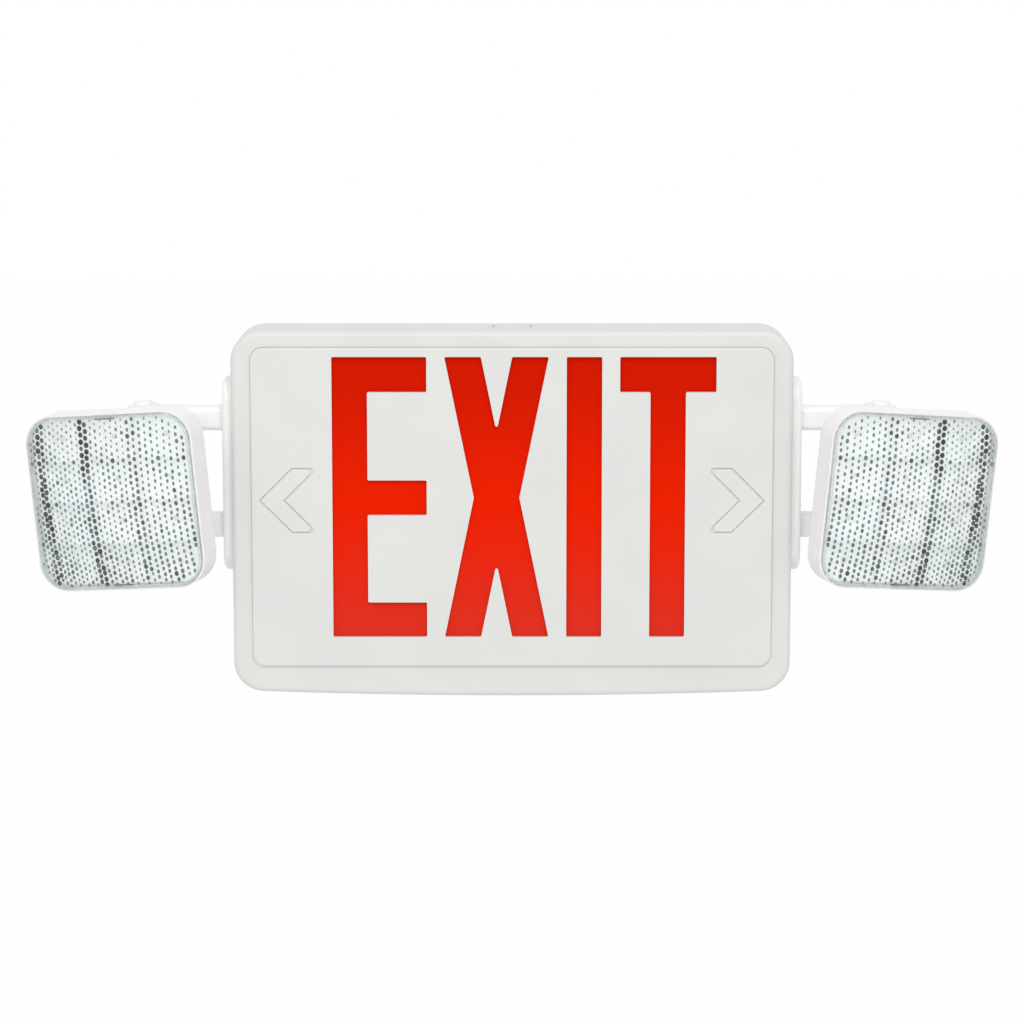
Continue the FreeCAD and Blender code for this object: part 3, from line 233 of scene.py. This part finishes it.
clearSheet = {
    "clean": (255, 255, 255),
    "cloudy": (226, 238, 238),
    "spot": 1100.0,  # noise scale of the cloudy spots
    "spotEdge": (0.4, 0.6),  # noise levels between which the tint turns
    "veilEdge": (0.35, 0.65),  # noise levels between which the veil thickens
    "veil": 0.03,  # how much of the sheet is seen where it is clearest
    "span": 0.1,  # how much more where it is cloudy
    "rough": 0.04,
    "sheen": 0.1,  # how much the spots change the roughness
    "bend": 1.49,  # index of refraction
}


def clearAcrylic():
    # clear lens: a thin pale veil with small cloudy spots
    finish = Finish("clearAcrylic")
    haze = finish.noise(clearSheet["spot"], 3.0, 0.6)
    return finish.coat(
        Base_Color=finish.mix(haze.between(*clearSheet["spotEdge"]),
                              clearSheet["clean"], clearSheet["cloudy"]),
        Roughness=clearSheet["rough"] + clearSheet["sheen"] * haze, IOR=clearSheet["bend"],
        Alpha=clearSheet["veil"] + clearSheet["span"] * haze.between(*clearSheet["veilEdge"]))


# painted shade on the clear lens prisms, from pale to near black
prismShadeTint = {
    "pale": (132, 146, 147),
    "dark": (4, 8, 9),
    "cast": 700.0,  # noise scale
    "uneven": 0.3,  # how much the noise moves the shade
    "rough": 0.4,
    "sheen": 0.2,  # how much the noise changes the roughness
    "gloss": 0.1,
}


def prismPaintedShade():
    # lens prisms: clear acrylic painted dark as painted shade; the shade attribute says how dark each one is,
    # at its rim and at its centre
    finish = Finish("prismPaintedShade")
    shade = Level(finish, finish.add("ShaderNodeAttribute", {"attribute_name": "shade"}).outputs["Fac"])
    grain = finish.noise(prismShadeTint["cast"], 2.0)
    dark = (shade + prismShadeTint["uneven"] * grain - prismShadeTint["uneven"] / 2).most(0.0).least(1.0)
    return finish.coat(Base_Color=finish.mix(dark, prismShadeTint["pale"], prismShadeTint["dark"]),
                       Roughness=prismShadeTint["rough"] + prismShadeTint["sheen"] * grain,
                       Specular_IOR_Level=prismShadeTint["gloss"])


rimTint = {
    "dark": (196, 207, 204),
    "pale": (226, 233, 231),
    "cloud": 300.0,  # noise scale
    "cloudEdge": (0.3, 0.7),  # noise levels between which the tint turns
    "rough": 0.2,
    "sheen": 0.1,  # how much the noise changes the roughness
    "solid": 0.25,  # how much of the edge is seen where it is clearest
    "span": 0.3,  # how much more where it is cloudy
}


def rimGreen():
    # thick edge of the clear sheet: grey-green, cloudy, half clear
    finish = Finish("rimGreen")
    cloud = finish.noise(rimTint["cloud"], 3.0)
    return finish.coat(
        Base_Color=finish.mix(cloud.between(*rimTint["cloudEdge"]), rimTint["dark"], rimTint["pale"]),
        Roughness=rimTint["rough"] + rimTint["sheen"] * cloud,
        Alpha=rimTint["solid"] + rimTint["span"] * cloud)


reflector = {
    "bright": (255, 255, 255),
    "cool": (244, 251, 251),
    "cloud": 50.0,  # noise scale of the tint
    "cast": 1500.0,  # noise scale of the fine grain
    "relief": 0.2,  # strength of the fine grain
    "grain": 0.00002,  # height of the fine grain
    "metal": 0.3,
    "rough": 0.3,
    "sheen": 0.1,  # how much the clouds change the roughness
    "glow": 0.13,
}


def brightMetal():
    # metallised reflector; its faint glow is the daylight that a cup gathers
    finish = Finish("brightMetal")
    slow = finish.noise(reflector["cloud"], 2.0)
    fine = finish.noise(reflector["cast"], 2.0)
    tone = finish.mix(slow, reflector["bright"], reflector["cool"])
    return finish.coat(Base_Color=tone, Metallic=reflector["metal"],
                       Roughness=reflector["rough"] + reflector["sheen"] * slow,
                       Emission_Color=tone, Emission_Strength=reflector["glow"],
                       Normal=finish.bump(fine, reflector["relief"], reflector["grain"]))


zinc = {
    "dark": (178, 180, 184),
    "pale": (206, 207, 208),
    "cloud": 300.0,  # noise scale
    "cloudEdge": (0.3, 0.7),  # noise levels between which the tint turns
    "press": (1, 1, 8),  # how many times closer the clouds are along X, Y and Z
    "relief": 0.1,  # strength of the streaks
    "grain": 0.00003,  # height of the streaks
    "metal": 0.95,
    "rough": 0.22,
    "sheen": 0.25,  # how much the streaks change the roughness
}


def zincSteel():
    # plated steel: clouds pressed flat along Z into streaks
    finish = Finish("zincSteel")
    streak = finish.noise(zinc["cloud"], 3.0, 0.6, zinc["press"])
    return finish.coat(
        Base_Color=finish.mix(streak.between(*zinc["cloudEdge"]), zinc["dark"], zinc["pale"]),
        Metallic=zinc["metal"], Roughness=zinc["rough"] + zinc["sheen"] * streak,
        Normal=finish.bump(streak, zinc["relief"], zinc["grain"]))


smallPiece = {
    "cloudEdge": (0.3, 0.7),  # noise levels between which the tint turns
    "sheen": 0.14,  # how much the clouds change the roughness
    "cast": 1400.0,  # noise scale of the fine grain
    "relief": 0.25,  # strength of the fine grain
    "grain": 0.00003,  # height of the fine grain
}


def plainTint(name, first, second, rough, scale=120.0, metal=0.0):
    # a moulded or sleeved small piece: two close tints clouded together over a fine grain
    finish = Finish(name)
    cloud = finish.noise(scale, 3.0)
    fine = finish.noise(smallPiece["cast"], 2.0)
    return finish.coat(
        Base_Color=finish.mix(cloud.between(*smallPiece["cloudEdge"]), first, second), Metallic=metal,
        Roughness=(rough - smallPiece["sheen"] / 2) + smallPiece["sheen"] * cloud,
        Normal=finish.bump(fine, smallPiece["relief"], smallPiece["grain"]))


board = {
    "lacquer": (18, 92, 52),
    "track": (34, 122, 70),
    "tracks": 400.0,  # to a metre
    "trackEdge": (0.2, 0.26),  # of a step, how far from its middle the lacquer ends and the track begins
    "cloud": 40.0,  # noise scale
    "cloudEdge": (0.45, 0.55),  # noise levels between which the tracks come up
    "rough": 0.3,
    "sheen": 0.1,  # how much the clouds change the roughness
}


def circuitGreen():
    # lacquered board: even upright tracks that come and go in clouds
    finish = Finish("circuitGreen")
    step = (board["tracks"] * finish.along("X")).part()
    tracks = (0.5 - step).size().between(*board["trackEdge"])
    cloud = finish.noise(board["cloud"], 2.0)
    return finish.coat(
        Base_Color=finish.mix(tracks * cloud.between(*board["cloudEdge"]),
                              board["lacquer"], board["track"]),
        Roughness=board["rough"] + board["sheen"] * cloud)


finishes = {  # by the slot that each one fills
    "white_housing": mouldedWhite("housingWhite"),
    "red_sheet": redAcrylic(),
    "white_tray": mouldedWhite("trayWhite"),
    "circuit_board": circuitGreen(),
    "diode": plainTint("diodeYellow", (247, 248, 235), (241, 243, 224), 0.3),
    "steel": zincSteel(),
    "core": plainTint("coreSteel", (88, 82, 78), (112, 106, 100), 0.5, 300.0, 0.6),
    "black_plastic": plainTint("relayBlack", (30, 30, 32), (44, 44, 46), 0.45),
    "capacitor_can": plainTint("canSleeve", (52, 60, 84), (64, 72, 96), 0.35),
    "battery_sleeve": plainTint("cellSleeve", (38, 116, 66), (50, 132, 78), 0.3),
    "red_button": plainTint("buttonRed", (196, 30, 24), (208, 40, 32), 0.25),
    "indicator": plainTint("indicatorGreen", (76, 190, 88), (96, 206, 104), 0.2),
    "bright_reflector": brightMetal(),
    "clear_lens": clearAcrylic(),
}
headWhite = mouldedWhite("headWhite")
# the arm white carries painted light as well as its own paler white
armWhiteWithPaintedLight = mouldedWhite("armWhiteWithPaintedLight")
whites = {  # pieces whose white differs from the housing's, by the end of their names
    "head_shell": headWhite,
    "_arm": armWhiteWithPaintedLight,
    "side_plate": armWhiteWithPaintedLight,
    "knuckle": armWhiteWithPaintedLight,
    "hinge_pin": armWhiteWithPaintedLight,
}
for name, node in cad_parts.items():
    for place in node.material_slots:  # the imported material's name starts with its slot
        slot = next(key for key in finishes if place.material.name.startswith(key))
        place.material = next((coat for end, coat in whites.items() if name.endswith(end)), finishes[slot])
print("finishes set on", len(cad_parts), "solids")


headPose = {
    "pinReach": 0.1972,  # hinge pin from the middle of the sign
    "pinLevel": 0.0195,  # hinge pin in front of the wall
    "pinLift": 0.01965,  # middle of the hinge pin above the middle of the sign
    "lean": 5.0,  # degrees that the hinge pin leans outwards
    "swing": 16.7,  # degrees that the head is turned on the hinge pin
    "crossReach": 0.018,  # cross pin in front of the hinge pin
    "tilt": 1.0,  # degrees that the head is turned on the cross pin
    "drop": 0.0078,  # middle of the lens below the cross pin
}
lensSide = 0.0938


def headMatrix(way):  # the place and turn of a lamp head, way is -1 at the left end and 1 at the right
    lean = Matrix.Rotation(math.radians(headPose["lean"]) * way, 4, "Y")
    swing = Matrix.Rotation(math.radians(headPose["swing"]) * way, 4, "Z")
    tilt = Matrix.Rotation(math.radians(headPose["tilt"]), 4, "X")
    pin = Matrix.Translation((headPose["pinReach"] * way, -headPose["pinLevel"], headPose["pinLift"]))
    return pin @ lean @ swing @ Matrix.Translation((0, -headPose["crossReach"], 0)) @ tilt


def lensFront(side, way):  # the level of the lens's front in the head's own frame
    turn = np.array(headMatrix(way))
    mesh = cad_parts[f"{side}_lens"].data
    points = np.empty(len(mesh.vertices) * 3)
    mesh.vertices.foreach_get("co", points)
    return ((points.reshape(-1, 3) - turn[:3, 3]) @ turn[:3, :3])[:, 1].min()


def addPiece(side, way, name, points, faces, finish):
    # the points are in the head's own frame, and are turned and moved into their place
    turn = np.array(headMatrix(way))
    mesh = bpy.data.meshes.new(f"{side}_{name}")
    mesh.from_pydata((points @ turn[:3, :3].T + turn[:3, 3]).tolist(), [], faces)
    mesh.materials.append(finish)
    piece = bpy.data.objects.new(f"{side}_{name}", mesh)
    bpy.context.scene.collection.objects.link(piece)
    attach(piece, f"{side}_head")
    print(piece.name, len(mesh.polygons), "faces")
    return mesh


prism = {
    "columnStep": 0.00304,  # from column to column in the middle of the lens
    "rowStep": 0.00336,  # from prism to prism up a column
    "columnShift": -0.3,  # of a step, from the middle of the lens to a column
    "bulgeAcross": 2.9,  # how fast the steps widen inwards
    "bulgeUp": 1.27,  # how fast the steps widen upwards
    "bow": 1.2,  # how much the ends of a column bow inwards
    "slant": -0.026,  # how much a column slants inwards on its way up
    "margin": 0.0023,  # bare border of the lens
    "corner": 0.0140,  # round corners of the prisms' field
    "stray": 0.00016,  # how far a prism strays from its place
    "small": 0.00066,  # radius of the palest prism
    "large": 0.00145,  # radius of the darkest one
    "narrow": 0.6,  # of that radius, width of the palest prism
    "tall": 1.1,  # of that radius, height of each prism
    "sink": 0.0006,  # prisms behind the front of the lens
    "depth": 0.0005,
    "waist": 0.45,  # second ring's size, of the first
    "waistDepth": 0.8,  # second ring's place, of the depth
    "sides": 8,
    "clearShade": 0.1,  # what a clear centre keeps of its prism's shade
    "seed": 7,
}
cups = {  # painted shade along the seams between the reflector's cups, seen as dark lines through the prisms
    "columns": ((-14.5, 1.1), (-4.5, 1.05), (4.5, 0.78), (12.5, 0.62)),  # which column, and how dark
    "wide": 0.75,  # half width of an upright seam, in columns
    "ripple": 0.08,  # how much the seams vary along their way
    "rippleUp": 95.0,  # radians of that wave to a metre up
    "rippleAcross": 0.35,  # and to a column
    "rows": (-0.235, 0.005, 0.24),  # heights of the level seams, of the lens's side
    "rowWide": 0.0012,  # half width of a level seam
    "rowShade": 0.6,
}
ground = {  # the painted shade of the prisms between the seams
    "middle": 0.33,
    "down": 2.4,  # darker with each metre down
    "inward": 2.2,  # darker with each metre inwards
    "wave": 0.10,  # height of a slow wave
    "waveUp": 120.0,  # radians of that wave to a metre up
    "waveInward": 210.0,  # and to a metre inwards
    "scatter": 0.13,  # from prism to prism, one standard deviation
    "least": 0.05,
}


def within(spots, half, corner):
    # true inside a square of half side half with round corners: past the square of the corners' centres,
    # the distance is at most corner
    past = np.maximum(np.abs(spots) - (half - corner), 0)
    return (past ** 2).sum(1) <= corner ** 2


def prismSpots():
    # staggered grid, every other column half a step up; the lens bulges, so from c across and r up the flat
    # grid a prism moves to inward = c + bulgeAcross c^2 + slant r + bow r^2 and up = r + bulgeUp r^2
    count = int(lensSide / prism["columnStep"])
    column, row = (grid.ravel() for grid in np.meshgrid(np.arange(-count, count), np.arange(-count, count)))
    across = (column + prism["columnShift"]) * prism["columnStep"]
    along = (row + column % 2 * 0.5) * prism["rowStep"]
    inward = across + prism["bulgeAcross"] * across ** 2 + prism["slant"] * along + prism["bow"] * along ** 2
    up = along + prism["bulgeUp"] * along ** 2
    kept = within(np.column_stack([inward, up]), lensSide / 2 - prism["margin"], prism["corner"])
    return column[kept], inward[kept], up[kept]


def prismShade(column, inward, up):
    # painted shade of each lens prism
    # 0 pale to 1 dark: a flat-topped bell, exp(-x^4), across each upright seam and a round one, exp(-x^2),
    # across each level seam, over a ground that darkens downwards and inwards in a slow wave, and scatter
    dark = np.zeros(len(column))
    for place, strength in cups["columns"]:
        dark = np.maximum(dark, strength * np.exp(-((column - place) / cups["wide"]) ** 4))
    for place in cups["rows"]:
        line = up - place * lensSide
        dark = np.maximum(dark, cups["rowShade"] * np.exp(-(line / cups["rowWide"]) ** 2))
    ripple = np.sin(up * cups["rippleUp"] + column * cups["rippleAcross"])
    dark = dark * (1 - cups["ripple"] + cups["ripple"] * ripple)
    wave = ground["wave"] * np.sin(inward * ground["waveInward"] + up * ground["waveUp"])
    slow = ground["middle"] - ground["down"] * up + ground["inward"] * inward + wave
    scatter = np.random.default_rng(prism["seed"]).normal(0, ground["scatter"], len(column))
    return np.clip(np.maximum(dark, slow) + scatter, ground["least"], 1)


def prismForm():
    # a ring of radius 1, a smaller ring behind it, the first ring's centre and a tip at the back: walls
    # join ring to ring, the back closes on the tip and the front on the centre
    sides = prism["sides"]
    angle = np.arange(sides) / sides * 2 * np.pi
    ring = np.column_stack([np.cos(angle), np.zeros(sides), np.sin(angle)])
    waist = ring * prism["waist"] + [0, prism["depth"] * prism["waistDepth"], 0]
    points = np.vstack([ring, waist, [[0, 0, 0]], [[0, prism["depth"], 0]]])
    here = np.arange(sides)
    there = (here + 1) % sides
    centre = np.full_like(here, 2 * sides)
    walls = np.column_stack([here, here + sides, there + sides, there])
    back = np.column_stack([here + sides, centre + 1, there + sides])
    front = np.column_stack([here, there, centre])
    return points, (walls, back, front)


def makePrisms(side, way):
    # the form is scaled by each prism's shade and set at its spot, a little behind the front of the lens
    column, inward, up = prismSpots()
    shade = prismShade(column, inward, up)
    stray = np.random.default_rng(prism["seed"] + 2).normal(0, prism["stray"], (2, len(up)))
    level = np.full(len(up), lensFront(side, way) + prism["sink"])
    centres = np.column_stack([(inward + stray[0]) * -way, level, up + stray[1] - headPose["drop"]])
    radius = prism["small"] + (prism["large"] - prism["small"]) * shade
    width = radius * (prism["narrow"] + (1 - prism["narrow"]) * shade)
    grow = np.column_stack([width, np.ones(len(up)), radius * prism["tall"]])
    form, sheets = prismForm()
    points = (centres[:, None] + form * grow[:, None]).reshape(-1, 3)
    first = (np.arange(len(up)) * len(form))[:, None, None]
    faces = [face for sheet in sheets for face in (sheet + first).reshape(-1, sheet.shape[1]).tolist()]
    mesh = addPiece(side, way, "lens_prisms", points, faces, prismShadeFinish)
    clear = np.random.default_rng(prism["seed"] + 1).random(len(up)) > shade  # more of the pale ones
    tones = np.repeat(shade[:, None], len(form), 1)
    tones[:, -2] = np.where(clear, prism["clearShade"], 1.0) * shade  # the centre of each front
    mesh.attributes.new("shade", "FLOAT", "POINT").data.foreach_set(
        "value", tones.ravel().astype(np.float32))


rim = {
    "inset": 0.0005,  # hoop inside the lens's outline
    "wide": 0.0014,
    "front": 0.0004,  # its front behind the lens's front
    "back": 0.0018,  # its back behind the lens's front
    "corner": 0.0145,
    "turns": 12,  # points round each corner
}


def roundSquare(half, corner):
    # outline of a square of half side half: a quarter circle of the corner's radius at each corner
    angle = (np.linspace(0, np.pi / 2, rim["turns"]) + np.arange(4)[:, None] * np.pi / 2).ravel()
    quarters = np.array([[1, 1], [-1, 1], [-1, -1], [1, -1]])
    middle = np.repeat(quarters, rim["turns"], axis=0) * (half - corner)
    return middle + corner * np.column_stack([np.cos(angle), np.sin(angle)])


def makeRim(side, way):
    # the lens's edge: a square hoop just inside its outline, a rectangle carried along a round square
    outer = roundSquare(lensSide / 2 - rim["inset"], rim["corner"])
    inner = roundSquare(lensSide / 2 - (rim["inset"] + rim["wide"]), rim["corner"] - rim["wide"])
    count = len(outer)
    loops = [(outer, "front"), (outer, "back"), (inner, "back"), (inner, "front")]
    points = np.vstack([
        np.column_stack([line[:, 0], np.full(count, lensFront(side, way) + rim[place]),
                         line[:, 1] - headPose["drop"]]) for line, place in loops])
    loop, here = np.meshgrid(np.arange(4), np.arange(count), indexing="ij")
    after, there = (loop + 1) % 4, (here + 1) % count
    corners = [loop * count + here, loop * count + there, after * count + there, after * count + here]
    faces = np.stack(corners, axis=-1).reshape(-1, 4).tolist()
    addPiece(side, way, "lens_rim", points, faces, rimFinish)


# a thin dark block for the painted shadow in each snap slot of the lens
slotShadow = {
    "length": 0.011,
    "width": 0.0008,
    "fromEdge": 0.0019,  # its middle inside the lens's outline
    "front": 0.0005,  # its front behind the lens's front
    "back": 0.0019,  # its back behind the lens's front
}


def makeSlotShadows(side, way):
    # painted shadow in the lens's two snap slots: a thin dark block at the top and one at the bottom
    block = np.array(list(product((-0.5, 0.5), (0, 1), (-0.5, 0.5))))
    size = [slotShadow["length"], slotShadow["back"] - slotShadow["front"], slotShadow["width"]]
    reach = lensSide / 2 - slotShadow["fromEdge"]
    level = lensFront(side, way) + slotShadow["front"]
    points = np.vstack([block * size + [0, level, reach * up - headPose["drop"]] for up in (-1, 1)])
    walls = np.array([(0, 1, 3, 2), (4, 6, 7, 5), (0, 4, 5, 1), (2, 3, 7, 6), (0, 2, 6, 4), (1, 5, 7, 3)])
    faces = np.vstack([walls, walls + len(block)]).tolist()
    addPiece(side, way, "lens_slot_shadows", points, faces, slotShadowFinish)


# painted shade for the clear lens prisms
prismShadeFinish = prismPaintedShade()
rimFinish = rimGreen()
# dark grey of the painted shadow in the snap slots
slotShadowFinish = plainTint("slotShadowGrey", (84, 90, 88), (112, 118, 116), 0.6)
for sideName, sideWay in (("left", -1), ("right", 1)):
    for make in (makePrisms, makeRim, makeSlotShadows):
        make(sideName, sideWay)


stage = {
    "floorDrop": 0.30,  # floor below the sign
    "floorSide": 12.0,
    "floorTone": 0.85,  # of the light that falls on it, what the floor gives back
    "shade": 0.02,  # how much of that is seen, the rest being plain white
    "glow": 0.76,  # strength of the light all around
}
lamps = {  # metres and watts
    "key": {"place": (0.5, -2.0, 1.9), "aim": (0, 0, 0), "side": 0.3, "power": 14.0},
    "fill": {"place": (-0.5, -1.9, 0.9), "aim": (0, 0, 0), "side": 1.0, "power": 8.0},
}
view = {
    "lens": 117.4,  # millimetres
    "sensor": 36.0,  # millimetres
    "place": (0.0, -1.8208, 0.2822),
    "turn": 81.0,  # degrees up from straight down
}
white = (1, 1, 1, 1)


def looking(finish):  # 1 where the camera looks, also in a mirror or through the lens, and 0 for mere light
    path = finish.add("ShaderNodeLightPath")
    straight, mirrored, through = (Level(finish, path.outputs[key]) for key in (
        "Is Camera Ray", "Is Glossy Ray", "Is Transmission Ray"))
    return straight.most(mirrored).most(through)


def makeFloor():
    half = stage["floorSide"] / 2
    low = cadBox[0][2] - stage["floorDrop"]
    mesh = bpy.data.meshes.new("floor")
    mesh.from_pydata([(-half, -half, low), (half, -half, low), (half, half, low), (-half, half, low)],
                     [], [(0, 1, 2, 3)])
    floor = bpy.data.objects.new("floor", mesh)
    bpy.context.scene.collection.objects.link(floor)
    finish = Finish("floorPale")
    matt = finish.add("ShaderNodeBsdfDiffuse", None, {"Color": (*[stage["floorTone"]] * 3, 1)})
    plain = finish.add("ShaderNodeEmission", None, {"Color": white, "Strength": 1.0})
    mesh.materials.append(finish.blend(looking(finish) * (1 - stage["shade"]), matt, plain))


def makeWorld():
    sky = Sky("studio")
    soft = sky.add("ShaderNodeBackground", None, {"Color": white, "Strength": stage["glow"]})
    plain = sky.add("ShaderNodeBackground", None, {"Color": white, "Strength": 1.0})
    bpy.context.scene.world = sky.blend(looking(sky), soft, plain)


def makeLamps():
    for name, lamp in lamps.items():
        data = bpy.data.lights.new(name, "AREA")
        data.size = lamp["side"]
        data.energy = lamp["power"]
        light = bpy.data.objects.new(name, data)
        bpy.context.scene.collection.objects.link(light)
        light.location = lamp["place"]
        aim = Vector(lamp["aim"]) - Vector(lamp["place"])
        light.rotation_euler = aim.to_track_quat("-Z", "Y").to_euler()


def makeCamera():
    data = bpy.data.cameras.new("camera")
    data.lens = view["lens"]
    data.sensor_width = view["sensor"]
    camera = bpy.data.objects.new("camera", data)
    bpy.context.scene.collection.objects.link(camera)
    camera.location = view["place"]
    camera.rotation_euler = (math.radians(view["turn"]), 0, 0)
    bpy.context.scene.camera = camera


makeFloor()
makeWorld()
makeLamps()
makeCamera()
bpy.context.scene.view_settings.view_transform = "Standard"
print("stage, lamps and camera set")
